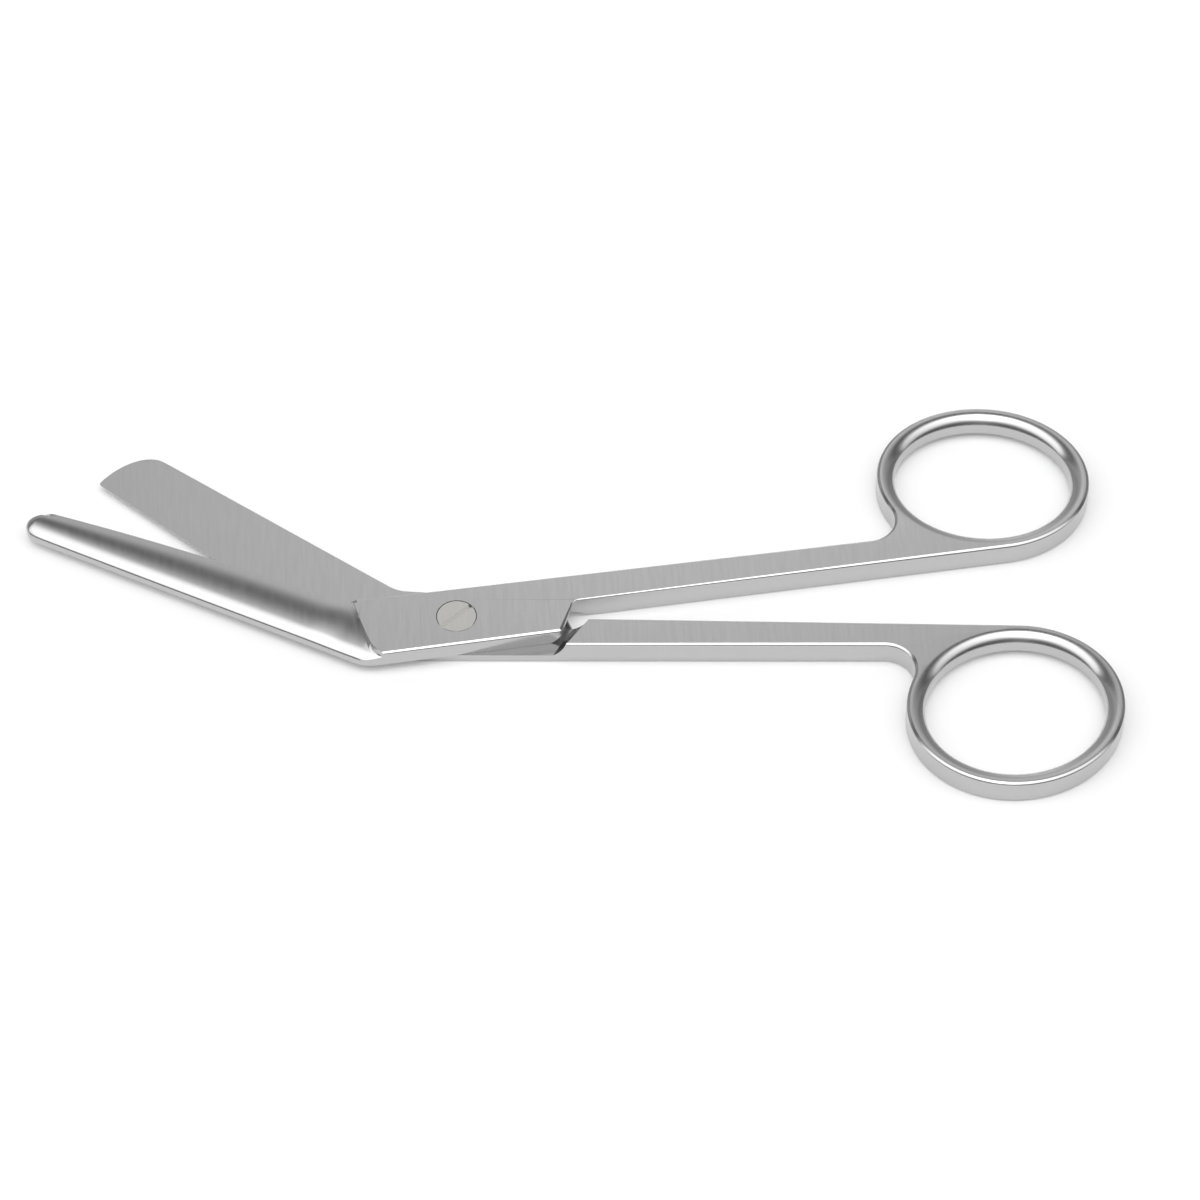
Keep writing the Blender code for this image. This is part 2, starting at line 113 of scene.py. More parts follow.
# The ground back of a blade, from its spine to its cutting edge
EDGE_LAND = 0.18 * MM
NOSE_ROUND = 1.2 * MM
SPINE_RUN = 1.8 * MM
SPINE_ROUND = 0.25 * MM
CREST_FLAT = 0.6 * MM
LEAST_SPAN = 0.1 * MM
LEAST_BEVEL = 0.05
BEVEL_FADE_START = 4.0 * MM
BEVEL_FADE_END = 9.5 * MM

# Where the grinding runs out on the box. The rounding of the spine runs out later than the back.
GRIND_LEAD = 12.0 * MM
GRIND_START = 0.25 * MM
GRIND_LEAN = 0.1
GRIND_RISE = 0.8
GRIND_SOFTNESS = 0.3 * MM
SPINE_DELAY = 2.2 * MM
SPINE_DELAY_START = 1.0 * MM
SPINE_DELAY_END = 2.1 * MM

# The countersunk pivot screw
SCREW_HEAD_RADIUS = 2.7 * MM
SCREW_HEAD_RIM = 0.35 * MM
SCREW_CONE_DEPTH = 1.0 * MM
SCREW_SHANK_RADIUS = 1.6 * MM
SCREW_CHAMFER = 0.1 * MM
SCREW_CLEARANCE = 0.03 * MM
SLOT_WIDTH = 0.65 * MM
SLOT_DEPTH = 0.45 * MM
SLOT_TURN = math.radians(38.6)

# Sizes of each half. A blade with a negative bend turns away from the side of its own shank.
UPPER = {
    "lap": 2.29 * MM,
    "outer_at_pivot": 4.75 * MM,
    "outer_at_ring": 4.15 * MM,
    "inner_edge": 0.15 * MM,
    "spine_root": (-13.1 * MM, -4.85 * MM),
    "spine_fillet": 5.0 * MM,
    "back_slope": 0.22,
    "spine_slope": 0.47,
    "bend": math.radians(35.0),
    "blade_length": 52.8 * MM,
    "width_at_root": 7.77 * MM,
    "width_at_tip": 4.68 * MM,
    "edge_bow": 0.9 * MM,
    "nose_length": 2.8 * MM,
    "nose_edge_length": 5.0 * MM,
    "nose_peak": 0.42,
    "edge_fillet": 7.5 * MM,
    "edge_bevel": 0.9 * MM,
    "crest_at_root": 2.28 * MM,
    "crest_at_tip": 1.9 * MM,
    "ring_centre": 74.8 * MM,
    "ring_gap": -0.05 * MM,
    "ring_width": 25.65 * MM,
    "ring_lean": math.radians(-12.3),
}
LOWER = {
    "lap": THICKNESS - JOINT_GAP - UPPER["lap"],
    "outer_at_pivot": 4.9 * MM,
    "outer_at_ring": 4.37 * MM,
    "inner_edge": 0.25 * MM,
    "spine_root": (-8.3 * MM, -6.25 * MM),
    "spine_fillet": 5.0 * MM,
    "back_slope": 0.06,
    "spine_slope": 0.25,
    "bend": math.radians(-34.6),
    "blade_length": 45.05 * MM,
    "width_at_root": 11.5 * MM,
    "width_at_tip": 8.35 * MM,
    "edge_bow": 0.0 * MM,
    "nose_length": 4.8 * MM,
    "nose_edge_length": 0.4 * MM,
    "nose_peak": 0.95,
    "edge_fillet": 3.0 * MM,
    "edge_bevel": 0.5 * MM,
    "crest_at_root": 1.28 * MM,
    "crest_at_tip": 1.0 * MM,
    "ring_centre": 74.0 * MM,
    "ring_gap": 0.6 * MM,
    "ring_width": 26.65 * MM,
    "ring_lean": math.radians(-21.3),
}

# Fineness of the faces
ARC_STEP = math.radians(3.0)
RING_STEPS = 160
NOSE_STEPS = 16
NOSE_STATIONS = 32
EDGE_STATIONS = 24
ROUND_STEPS = 8
RING_ROUND_STEPS = 10
SHOULDER_STEPS = 24
GRIND_STATIONS = 110
SPINE_STEPS = 18
CREST_STEPS = 10
SCREW_STEPS = 96
MERGE_DISTANCE = 0.001 * MM
SHARP_ANGLE = math.radians(16.0)

# The satin of the steel: ground lines across the shank, as waves per metre along each axis, and a
# fine grain. The middle of the noise's range is what makes the roughness uneven.
LINE_SCALE = (2.6 / MM, 0.2 / MM, 1.0 / MM)
LINE_DETAIL = 3.0
GRAIN_SIZE = 0.25 * MM
GRAIN_DETAIL = 2.0
GRAIN_DEPTH = 0.0002 * MM
ROUGHNESS_SPREAD = 0.015
NOISE_MIDDLE = (0.3, 0.7)

SCREW_COLOUR = "C9C8C5"
SCREW_ROUGHNESS = 0.2

FLOOR_REACH = 3.0
FLOOR_ROUGHNESS = 0.9

# The camera, at the photograph's angle, and the stage
CAMERA_TARGET = Vector((0.01955, 0.00433, 0.0))
CAMERA_OFFSET = Vector((-0.0289, -0.3781, 0.4520))
CAMERA_LENS = 131.1
CAMERA_SENSOR = 36.0

# The studio's brightness from the far horizon (0 degrees) over the top to the near horizon (180),
# and the share of it that is left towards the left (-90) and the right (90)
STUDIO_LEVELS = (
    (0.0, 1.10),
    (15.0, 0.80),
    (30.0, 0.66),
    (40.0, 0.76),
    (45.0, 0.96),
    (48.0, 1.06),
    (51.0, 1.02),
    (53.0, 0.82),
    (55.0, 0.42),
    (57.0, 0.14),
    (60.0, 0.05),
    (64.0, 0.08),
    (66.5, 0.24),
    (69.0, 0.48),
    (71.5, 0.70),
    (73.5, 1.10),
    (75.0, 2.20),
    (77.0, 3.40),
    (80.0, 3.80),
    (112.0, 3.30),
    (124.0, 1.90),
    (136.0, 0.80),
    (146.0, 0.36),
    (165.0, 0.30),
)
STUDIO_SIDES = (
    (-90.0, 0.30),
    (-60.0, 0.42),
    (-40.0, 0.48),
    (-25.0, 0.50),
    (-16.0, 0.52),
    (-10.0, 0.62),
    (-7.0, 0.71),
    (-4.0, 0.86),
    (-1.0, 0.98),
    (1.5, 1.00),
    (5.0, 0.86),
    (8.0, 0.74),
    (11.0, 0.61),
    (16.0, 0.52),
    (30.0, 0.42),
    (45.0, 0.33),
    (70.0, 0.25),
)


def turned(vector):
    """The vector turned a quarter to the right."""
    return Vector((vector.y, -vector.x))


def crossing(point, direction, other_point, other_direction):
    """Where two lines of the plan cross."""
    share = (other_point - point).cross(other_direction) / direction.cross(other_direction)
    return point + direction * share


def arc(middle, start, end):
    """Points from start to end on the shorter arc about the middle."""
    first = start - middle
    last = end - middle
    turn = first.angle(last)
    steps = max(2, math.ceil(turn / ARC_STEP))
    points = []
    for step in range(steps + 1):
        share = step / steps
        along = first * math.sin((1.0 - share) * turn) + last * math.sin(share * turn)
        points.append(middle + along / math.sin(turn))
    return points


def rounded_corner(before, corner, after, radius):
    """The arc that rounds a corner between two straight edges."""
    back = (before - corner).normalized()
    onward = (after - corner).normalized()
    half_angle = back.angle(onward) / 2.0
    middle = corner + (back + onward).normalized() * (radius / math.sin(half_angle))
    reach = radius / math.tan(half_angle)
    return arc(middle, corner + back * reach, corner + onward * reach)


class Ellipse:
    """A leaning ellipse of a finger ring."""

    def __init__(self, centre, length, width, lean):
        self.centre = centre
        self.half_length = length / 2.0
        self.half_width = width / 2.0
        self.axis = Vector((math.cos(lean), math.sin(lean)))
        self.side = Vector((-math.sin(lean), math.cos(lean)))

    def point(self, angle):
        along = self.axis * (self.half_length * math.cos(angle))
        return self.centre + along + self.side * (self.half_width * math.sin(angle))

    def normal(self, angle):
        along = self.axis * (self.half_width * math.cos(angle))
        return (along + self.side * (self.half_length * math.sin(angle))).normalized()

    def tangent_angle(self, point):
        """Where a straight line from the point touches the lower side of the ellipse."""
        away = point - self.centre
        flat = Vector((away.dot(self.axis) / self.half_length, away.dot(self.side) / self.half_width))
        return math.atan2(flat.y, flat.x) % math.tau + math.acos(1.0 / flat.length)


def ring_of(half):
    """The outer edge of the finger ring, with its lowest point at the half's ring gap."""
    lean = half["ring_lean"]
    rise = math.hypot(RING_LENGTH * math.sin(lean), half["ring_width"] * math.cos(lean)) / 2.0
    centre = Vector((half["ring_centre"], half["ring_gap"] + rise))
    return Ellipse(centre, RING_LENGTH, half["ring_width"], lean)


def web_of(ring, line_point, line_direction):
    """The fillet between the ring and the outer edge of the shank: its angle on the ring and middle."""
    upward = -turned(line_direction)
    high, low = WEB_SEARCH
    for _ in range(WEB_HALVINGS):
        angle = (high + low) / 2.0
        middle = ring.point(angle) + ring.normal(angle) * WEB_FILLET
        if (middle - line_point).dot(upward) > WEB_FILLET:
            high = angle
        else:
            low = angle
    return angle, middle, middle - upward * WEB_FILLET


def blade_point(half, along, across):
    """A point of the plan from its distances along the spine and across the blade."""
    axis = Vector((-math.cos(half["bend"]), math.sin(half["bend"])))
    return Vector(half["spine_root"]) + axis * along + turned(axis) * across


def blade_width(half, along):
    """The width of the blade, square to its spine."""
    share = along / half["blade_length"]
    bow = max(0.0, 4.0 * share * (1.0 - share)) * half["edge_bow"]
    return half["width_at_root"] + (half["width_at_tip"] - half["width_at_root"]) * share + bow


def nose_reach(half, across):
    """How far along the spine the nose reaches at a distance across the blade."""
    width = blade_width(half, half["blade_length"])
    peak = half["nose_peak"] * width
    if across > peak:
        length = half["nose_edge_length"]
        away = (across - peak) / (width - peak)
    else:
        length = half["nose_length"]
        away = (peak - across) / peak
    return half["blade_length"] - length * (1.0 - math.sqrt(max(0.0, 1.0 - away * away)))


def nose(half):
    """The rounded end of the blade, from its cutting edge to its spine."""
    width = blade_width(half, half["blade_length"])
    peak = half["nose_peak"] * width
    sides = ((half["nose_edge_length"], width - peak, 1.0), (half["nose_length"], peak, -1.0))
    points = []
    for length, half_width, side in sides:
        for step in range(NOSE_STEPS + 1):
            angle = math.radians(90.0) * step / NOSE_STEPS
            if side < 0.0:
                angle = math.radians(90.0) - angle
            along = half["blade_length"] - length * (1.0 - math.sin(angle))
            points.append(blade_point(half, along, peak + side * half_width * math.cos(angle)))
    del points[NOSE_STEPS]
    return points


def outline(half):
    """The plan of a half, counter-clockwise, as points and the rounding of the edge at each."""
    ring = ring_of(half)
    outer_start = Vector((0.0, half["outer_at_pivot"]))
    outer_end = Vector((half["ring_centre"] - RING_LENGTH / 2.0, half["outer_at_ring"]))
    outer_direction = (outer_start - outer_end).normalized()

    box_corner = Vector((BOX_REACH, -BOX_BACK))
    spine_root = Vector(half["spine_root"])
    end_rise = half["inner_edge"] + BOX_BACK
    notch = Vector((BOX_REACH + end_rise * math.tan(BOX_END_LEAN), half["inner_edge"]))
    touch = ring.tangent_angle(notch)
    web_angle, web_middle, web_foot = web_of(ring, outer_end, -outer_direction)

    tip = nose(half)
    root = blade_point(half, 0.0, blade_width(half, 0.0))
    further = blade_point(half, half["edge_fillet"], blade_width(half, half["edge_fillet"]))
    edge_corner = crossing(outer_end, outer_direction, root, further - root)
    edge_arc = rounded_corner(web_foot, edge_corner, further, half["edge_fillet"])
    axis = blade_point(half, 1.0, 0.0) - blade_point(half, 0.0, 0.0)
    fillet_end = (edge_arc[-1] - spine_root).dot(axis)
    edge = []
    for station in range(1, EDGE_STATIONS):
        reach = half["blade_length"] - half["nose_edge_length"] - fillet_end
        along = fillet_end + reach * station / EDGE_STATIONS
        edge.append(blade_point(half, along, blade_width(half, along)))

    ring_points = []
    for step in range(RING_STEPS + 1):
        angle = touch + (web_angle + math.tau - touch) * step / RING_STEPS
        ring_points.append(ring.point(angle))

    stretches = [
        (rounded_corner(spine_root, box_corner, notch, BOX_CORNER), BOX_EDGE_ROUND),
        (rounded_corner(box_corner, notch, ring.point(touch), NOTCH_ROUND), INNER_EDGE_ROUND),
        (ring_points, EDGE_ROUND),
        (arc(web_middle, ring.point(web_angle), web_foot)[1:], EDGE_ROUND),
        (edge_arc, INNER_EDGE_ROUND),
        (edge, BLADE_EDGE_ROUND),
        (tip, BLADE_EDGE_ROUND),
        (rounded_corner(tip[-1], spine_root, box_corner, half["spine_fillet"]),
         SPINE_CORNER_ROUND),
    ]
    points = []
    rounds = []
    for stretch, rounding in stretches:
        points.extend(stretch)
        rounds.extend([rounding] * len(stretch))
    return points, rounds


def inset(points, amounts):
    """Each point of a counter-clockwise loop moved inwards by its own amount."""
    moved = []
    for index, point in enumerate(points):
        before = (point - points[index - 1]).normalized()
        after = (points[(index + 1) % len(points)] - point).normalized()
        inward = -turned(before + after).normalized()
        stretch = inward.dot(-turned(after))
        moved.append(point + inward * (amounts[index] / stretch))
    return moved


def edge_profile(steps):
    """The rounding of an edge from the flat face to the wall, as shares of its radius."""
    profile = []
    for step in range(steps + 1):
        angle = math.radians(90.0) * step / steps
        profile.append((1.0 - math.sin(angle), 1.0 - math.cos(angle)))
    return profile


def ground_edge_profile(steps):
    """An edge that is ground to a narrow slope and then rounded, as shares of its run in the plan."""
    blend = EDGE_BLEND / math.sin(EDGE_SLOPE)
    round_off = (1.0 - EDGE_BLEND - EDGE_BEVEL) / (1.0 - math.sin(EDGE_SLOPE))
    profile = []
    for step in range(steps // 2 + 1):
        angle = EDGE_SLOPE * step / (steps // 2)
        profile.append((1.0 - blend * math.sin(angle), blend * (1.0 - math.cos(angle))))
    drop = profile[-1][1] + EDGE_BEVEL * math.tan(EDGE_SLOPE)
    for step in range(steps + 1):
        angle = EDGE_SLOPE + (math.radians(90.0) - EDGE_SLOPE) * step / steps
        fall = round_off * (math.cos(EDGE_SLOPE) - math.cos(angle))
        profile.append((round_off * (1.0 - math.sin(angle)), drop + fall))
    return profile


def wall(bm, points, rounds, profile, steepness=1.0):
    """Extrudes a loop of the plan into a side wall with its lower and upper edges rounded.

    The rounds are the runs of the rounding in the plan, and its drop is the steepness times the run.
    """
    order = bm.verts.layers.int.verify()
    levels = [(side, height, 1.0) for side, height in profile]
    levels += [(side, height, -1.0) for side, height in reversed(profile)]
    loop = [bm.verts.new((point.x, point.y, 0.0)) for point in points]
    for index, vert in enumerate(loop):
        vert[order] = index
    edges = [bm.edges.new((loop[index - 1], loop[index])) for index in range(len(loop))]
    for number, (side, height, direction) in enumerate(levels):
        if number > 0:
            grown = bmesh.ops.extrude_edge_only(bm, edges=edges)["geom"]
            loop = [item for item in grown if isinstance(item, bmesh.types.BMVert)]
            edges = [item for item in grown if isinstance(item, bmesh.types.BMEdge)]
        base = 0.0 if direction > 0.0 else THICKNESS
        moved = inset(points, [side * rounding for rounding in rounds])
        for vert in loop:
            index = vert[order]
            height_here = base + direction * height * steepness * rounds[index]
            vert.co = (moved[index].x, moved[index].y, height_here)


def loft(bm, sections):
    """A closed solid through sections that have the same number of points."""
    loops = []
    for section in sections:
        verts = [bm.verts.new(point) for point in section]
        loops.append([bm.edges.new((verts[index - 1], verts[index])) for index in range(len(verts))])
    for near, far in zip(loops, loops[1:]):
        bmesh.ops.bridge_loops(bm, edges=near + far)
    for end in (loops[0], loops[-1]):
        bmesh.ops.triangle_fill(bm, edges=end, use_beauty=True)


def turned_solid(profile):
    """A solid turned about Z from (radius, height) pairs that start and end on the axis."""
    bm = bmesh.new()
    verts = [bm.verts.new((radius, 0.0, height)) for radius, height in profile]
    edges = [bm.edges.new(pair) for pair in zip(verts, verts[1:])]
    bmesh.ops.spin(bm, geom=verts + edges, cent=(0, 0, 0), axis=(0, 0, 1), angle=math.tau,
                   steps=SCREW_STEPS, use_merge=True)
    bmesh.ops.remove_doubles(bm, verts=bm.verts, dist=MERGE_DISTANCE)
    return bm


def object_from(name, bm):
    """An object in the scene from a finished bmesh."""
    bmesh.ops.recalc_face_normals(bm, faces=bm.faces)
    mesh = bpy.data.meshes.new(name)
    bm.to_mesh(mesh)
    bm.free()
    result = bpy.data.objects.new(name, mesh)
    bpy.context.scene.collection.objects.link(result)
    return result


def carved(name, blank_bm, cutters):
    """The blank less its cutters, as a new mesh with outward normals.

    The manifold solver keeps the solid closed where a cutter's face lies almost in one of the blank's.
    """
    bmesh.ops.triangulate(blank_bm, faces=blank_bm.faces)
    target = object_from(name, blank_bm)
    helpers = []
    for number, cutter_bm in enumerate(cutters):
        bmesh.ops.triangulate(cutter_bm, faces=cutter_bm.faces)
        cutter = object_from(name + f"_cutter_{number}", cutter_bm)
        boolean = target.modifiers.new(cutter.name, "BOOLEAN")
        boolean.operation = "DIFFERENCE"
        boolean.solver = "MANIFOLD"
        boolean.object = cutter
        helpers.append(cutter)
    evaluated = target.evaluated_get(bpy.context.evaluated_depsgraph_get())
    mesh = bpy.data.meshes.new_from_object(evaluated)
    if len(mesh.vertices) == len(target.data.vertices):
        raise RuntimeError(f"the cutters left {name} as it was")
    for item in helpers + [target]:
        spare = item.data
        bpy.data.objects.remove(item)
        bpy.data.meshes.remove(spare)
    mesh.name = name
    return mesh


def blank(half):
    """The forged blank: the whole plan at full thickness, with the finger hole."""
    bm = bmesh.new()
    points, rounds = outline(half)
    wall(bm, points, rounds, ground_edge_profile(ROUND_STEPS))

    ring = ring_of(half)
    hole = Ellipse(ring.centre, RING_LENGTH - 2.0 * RING_RIM, half["ring_width"] - 2.0 * RING_RIM,
                   half["ring_lean"])
    hole_points = [hole.point(-math.tau * step / RING_STEPS) for step in range(RING_STEPS)]
    wall(bm, hole_points, [RING_INNER_RUN] * RING_STEPS, edge_profile(RING_ROUND_STEPS),
         RING_INNER_DROP / RING_INNER_RUN)

    for level in (0.0, THICKNESS):
        rim = [edge for edge in bm.edges if edge.is_boundary
               and all(abs(vert.co.z - level) < THICKNESS / 4.0 for vert in edge.verts)]
        bmesh.ops.triangle_fill(bm, edges=rim, use_beauty=True)
    return bm


def shoulder_curve():
    """The hollow slope of a shoulder, as shares of its run and of its height."""
    first = SHOULDER_FOOT_SLOPE
    last = SHOULDER_TOP_SLOPE
    shares = []
    for step in range(SHOULDER_STEPS + 1):
        angle = first + (last - first) * step / SHOULDER_STEPS
        along = (math.sin(angle) - math.sin(first)) / (math.sin(last) - math.sin(first))
        rise = (math.cos(first) - math.cos(angle)) / (math.cos(first) - math.cos(last))
        shares.append((along, rise))
    return shares


def lap_cutter(half):
    """What the joint takes from the inner face: the lap, up to the slope of its shoulder."""
    depth = THICKNESS - half["lap"]
    sections = []
    spread = BOX_BACK * SHOULDER_SPREAD
    for side in (-REACH, -spread, spread, REACH):
        place = max(-spread, min(spread, side))
        outwards = place / BOX_BACK
        box_end = BOX_REACH + (BOX_BACK - place) * math.tan(BOX_END_LEAN)
        gap = SHOULDER_GAP_INSIDE + (SHOULDER_GAP_OUTSIDE - SHOULDER_GAP_INSIDE) * outwards
        run = SHOULDER_RUN_INSIDE + (SHOULDER_RUN_OUTSIDE - SHOULDER_RUN_INSIDE) * outwards
        top = box_end + gap
        section = [(-REACH, side, -OVERCUT), (-REACH, side, depth)]
        for along, rise in shoulder_curve():
            section.append((top - run * (1.0 - along), side, depth * (1.0 - rise)))
        section.append((top, side, -OVERCUT))
        sections.append(section)
    bm = bmesh.new()
    loft(bm, sections)
    return bm


def box_end_cutter(half):
    """What leaves the end of the box undercut, to face the other half's shoulder."""
    lap_face = THICKNESS - half["lap"]
    rise_height = half["lap"] - BOX_END_LAND
    sections = []
    for side in (-BOX_BACK - OVERCUT, half["inner_edge"]):
        end = BOX_REACH + (side + BOX_BACK) * math.tan(BOX_END_LEAN) + BOX_END_OVERCUT
        section = [(end - BOX_UNDERCUT, side, lap_face - OVERCUT)]
        for along, rise in shoulder_curve():
            place = end - BOX_UNDERCUT * (1.0 - along)
            section.append((place, side, lap_face + rise_height * rise))
        section.append((end + OVERCUT, side, lap_face + rise_height))
        section.append((end + OVERCUT, side, lap_face - OVERCUT))
        sections.append(section)
    bm = bmesh.new()
    loft(bm, sections)
    return bm


def smooth_share(value, start, end):
    """Rises from nought at the start to one at the end, level at both."""
    share = max(0.0, min(1.0, (value - start) / (end - start)))
    return share * share * (3.0 - 2.0 * share)


def back_profile(half, along):
    """The ground back of the blade at one station.

    It is a list of distances from the spine and heights over the lap's flat face.
    """
    length = half["blade_length"]
    width = blade_width(half, along)
    crest = half["crest_at_root"]
    crest += (half["crest_at_tip"] - half["crest_at_root"]) * max(0.0, along / length)
    bevelled = smooth_share(along, BEVEL_FADE_START, BEVEL_FADE_END)
    edge_height = crest + (EDGE_LAND - crest) * bevelled
    top_edge = width - half["edge_bevel"] * max(LEAST_BEVEL, bevelled)

    span = max(LEAST_SPAN, top_edge - CREST_FLAT - SPINE_RUN)
    back_slope = half["back_slope"]
    extra_slope = half["spine_slope"] - back_slope
    profile = []
    for step in range(SPINE_STEPS + 1):
        across = SPINE_RUN * (step / SPINE_STEPS) ** 2
        left = SPINE_RUN - across
        fall = back_slope * (span / 2.0 + left) + extra_slope * left * left / (2.0 * SPINE_RUN)
        corner = max(0.0, 1.0 - across / SPINE_ROUND)
        fall += SPINE_ROUND * (1.0 - math.sqrt(1.0 - corner * corner))
        profile.append((across, crest - fall))
    land = profile[0][1]
    profile.insert(0, (-2.0 * OVERCUT, land))
    for step in range(1, CREST_STEPS + 1):
        left = 1.0 - step / CREST_STEPS
        height = crest - back_slope * span / 2.0 * left * left
        profile.append((top_edge - CREST_FLAT - span * left, height))
    profile.append((top_edge, crest))
    profile.append((width, edge_height))
    profile.append((width + 2.0 * OVERCUT, edge_height))

    sunk = []
    for across, height in profile:
        past = max(0.0, (along - nose_reach(half, across)) / NOSE_ROUND + 1.0)
        sink = math.sqrt(max(0.0, 1.0 - past * past))
        sunk.append((across, min(height, land + (height - land) * sink)))
    return sunk


def lift(half, place, across):
    """How far the grinding wheel has risen out of the blade where it runs out on the box.

    The rounding of the spine runs out last, and meets the ground edge of the box.
    """
    late = SPINE_DELAY * (1.0 - smooth_share(across, SPINE_DELAY_START, SPINE_DELAY_END))
    past = place.x - (half["spine_root"][0] + GRIND_START - GRIND_LEAN * place.y) - late
    if past < GRIND_SOFTNESS:
        return GRIND_RISE * max(0.0, past) ** 2 / (2.0 * GRIND_SOFTNESS)
    return GRIND_RISE * (past - GRIND_SOFTNESS / 2.0)


def grind_cutter(half):
    """What the grinding takes from the blade: its rounded spine, its domed back and the bevel."""
    lap_face = THICKNESS - half["lap"]
    ceiling = THICKNESS + 4.0 * OVERCUT
    nose_length = max(half["nose_length"], half["nose_edge_length"]) + NOSE_ROUND
    nose_start = half["blade_length"] - nose_length
    straight = nose_start + GRIND_LEAD
    stations = [straight * step / GRIND_STATIONS - GRIND_LEAD for step in range(GRIND_STATIONS)]
    for step in range(NOSE_STATIONS + 1):
        angle = math.radians(90.0) * step / NOSE_STATIONS
        stations.append(nose_start + nose_length * math.sin(angle))
    stations.append(half["blade_length"] + OVERCUT)

    sections = []
    for along in stations:
        profile = back_profile(half, along)
        section = []
        for across, over in profile:
            place = blade_point(half, along, across)
            height = lap_face + over + lift(half, place, across)
            section.append((place.x, place.y, min(height, ceiling - OVERCUT)))
        for across in (profile[-1][0], profile[0][0]):
            place = blade_point(half, along, across)
            section.append((place.x, place.y, ceiling))
        sections.append(section)
    bm = bmesh.new()
    loft(bm, sections)
    return bm


def screw_hole(head_up):
    """The countersunk hole of the upper half, or the plain hole that the screw is driven into."""
    shank = SCREW_SHANK_RADIUS + SCREW_CLEARANCE
    if not head_up:
        return turned_solid([(0.0, THICKNESS + OVERCUT), (shank, THICKNESS + OVERCUT),
                             (shank, -OVERCUT), (0.0, -OVERCUT)])
    head = SCREW_HEAD_RADIUS + SCREW_CLEARANCE
    rim = THICKNESS - SCREW_HEAD_RIM
    return turned_solid([(0.0, THICKNESS + OVERCUT), (head, THICKNESS + OVERCUT), (head, rim),
                         (shank, rim - SCREW_CONE_DEPTH), (shank, -OVERCUT), (0.0, -OVERCUT)])


def finished_piece(mesh, placement, material):
    """The piece in its place in the frame, smooth with crisp corners."""
    mesh.transform(placement)
    mesh.shade_smooth()
    mesh.set_sharp_from_angle(angle=SHARP_ANGLE)
    mesh.materials.clear()
    mesh.materials.append(material)
    piece = bpy.data.objects.new(mesh.name, mesh)
    bpy.context.scene.collection.objects.link(piece)
    weighted = piece.modifiers.new("weighted_normals", "WEIGHTED_NORMAL")
    weighted.keep_sharp = True
    return piece


def make_half(name, half, head_up, placement, material):
    """One half of the scissors, drawn closed with its outer face up and then put in its place."""
    cutters = [lap_cutter(half), box_end_cutter(half), grind_cutter(half), screw_hole(head_up)]
    mesh = carved(name, blank(half), cutters)
    return finished_piece(mesh, placement, material)


def srgb(code):
    """The linear colour of an sRGB hex value."""
    linear = []
    for start in (0, 2, 4):
        value = int(code[start:start + 2], 16) / 255.0
        linear.append(value / 12.92 if value <= 0.04045 else ((value + 0.055) / 1.055) ** 2.4)
    return (*linear, 1.0)


def add_node(tree, kind, settings=None, values=None, links=None):
    """A node with its settings, the values of its sockets, and links into its sockets."""
    node = tree.nodes.new(kind)
    for key, value in (settings or {}).items():
        setattr(node, key, value)
    for key, value in (values or {}).items():
        node.inputs[key].default_value = value
    for key, output in (links or {}).items():
        tree.links.new(output, node.inputs[key])
    return node


def new_material(name):
    """An empty node material and its tree."""
    material = bpy.data.materials.new(name)
    material.use_nodes = True
    material.node_tree.nodes.clear()
    return material, material.node_tree


def satin_ground_steel(name, colour, roughness):
    """Stainless steel, belt-ground to a satin.

    It gives the eye a soft grey mirror: even flats, and a bright and a dark band along each round
    form. Faint lines across the shank and a fine grain break up the sheen of the flats.
    """
    material, tree = new_material(name)
    place = add_node(tree, "ShaderNodeTexCoord").outputs["Object"]
    across = add_node(tree, "ShaderNodeVectorMath", {"operation": "MULTIPLY"}, {1: LINE_SCALE},
                      {0: place})
    lines = add_node(tree, "ShaderNodeTexNoise", None, {"Scale": 1.0, "Detail": LINE_DETAIL},
                     {"Vector": across.outputs["Vector"]})
    grain = add_node(tree, "ShaderNodeTexNoise", None,
                     {"Scale": 1.0 / GRAIN_SIZE, "Detail": GRAIN_DETAIL}, {"Vector": place})
    height = add_node(tree, "ShaderNodeMath", {"operation": "ADD"}, None,
                      {0: lines.outputs["Fac"], 1: grain.outputs["Fac"]})
    bump = add_node(tree, "ShaderNodeBump", None, {"Strength": 1.0, "Distance": GRAIN_DEPTH},
                    {"Height": height.outputs[0]})
    uneven = add_node(tree, "ShaderNodeMapRange", None,
                      {"From Min": NOISE_MIDDLE[0], "From Max": NOISE_MIDDLE[1],
                       "To Min": roughness - ROUGHNESS_SPREAD,
                       "To Max": roughness + ROUGHNESS_SPREAD}, {"Value": lines.outputs["Fac"]})
    shader = add_node(tree, "ShaderNodeBsdfPrincipled", None,
                      {"Base Color": srgb(colour), "Metallic": 1.0},
                      {"Roughness": uneven.outputs["Result"], "Normal": bump.outputs["Normal"]})
    add_node(tree, "ShaderNodeOutputMaterial", None, None, {"Surface": shader.outputs[0]})
    return material


def ramp_of(tree, share, stops, start, end):
    """A colour ramp over a share of the way from the start to the end, from (place, level) stops."""
    ramp = add_node(tree, "ShaderNodeValToRGB", None, None, {"Fac": share})
    ramp.color_ramp.interpolation = "LINEAR"
    brightest = max(level for _, level in stops)
    elements = ramp.color_ramp.elements
    while len(elements) < len(stops):
        elements.new(0.5)
    for element, (place, level) in zip(elements, stops):
        element.position = (place - start) / (end - start)
        value = level / brightest
        element.color = (value, value, value, 1.0)
    return ramp.outputs["Color"]


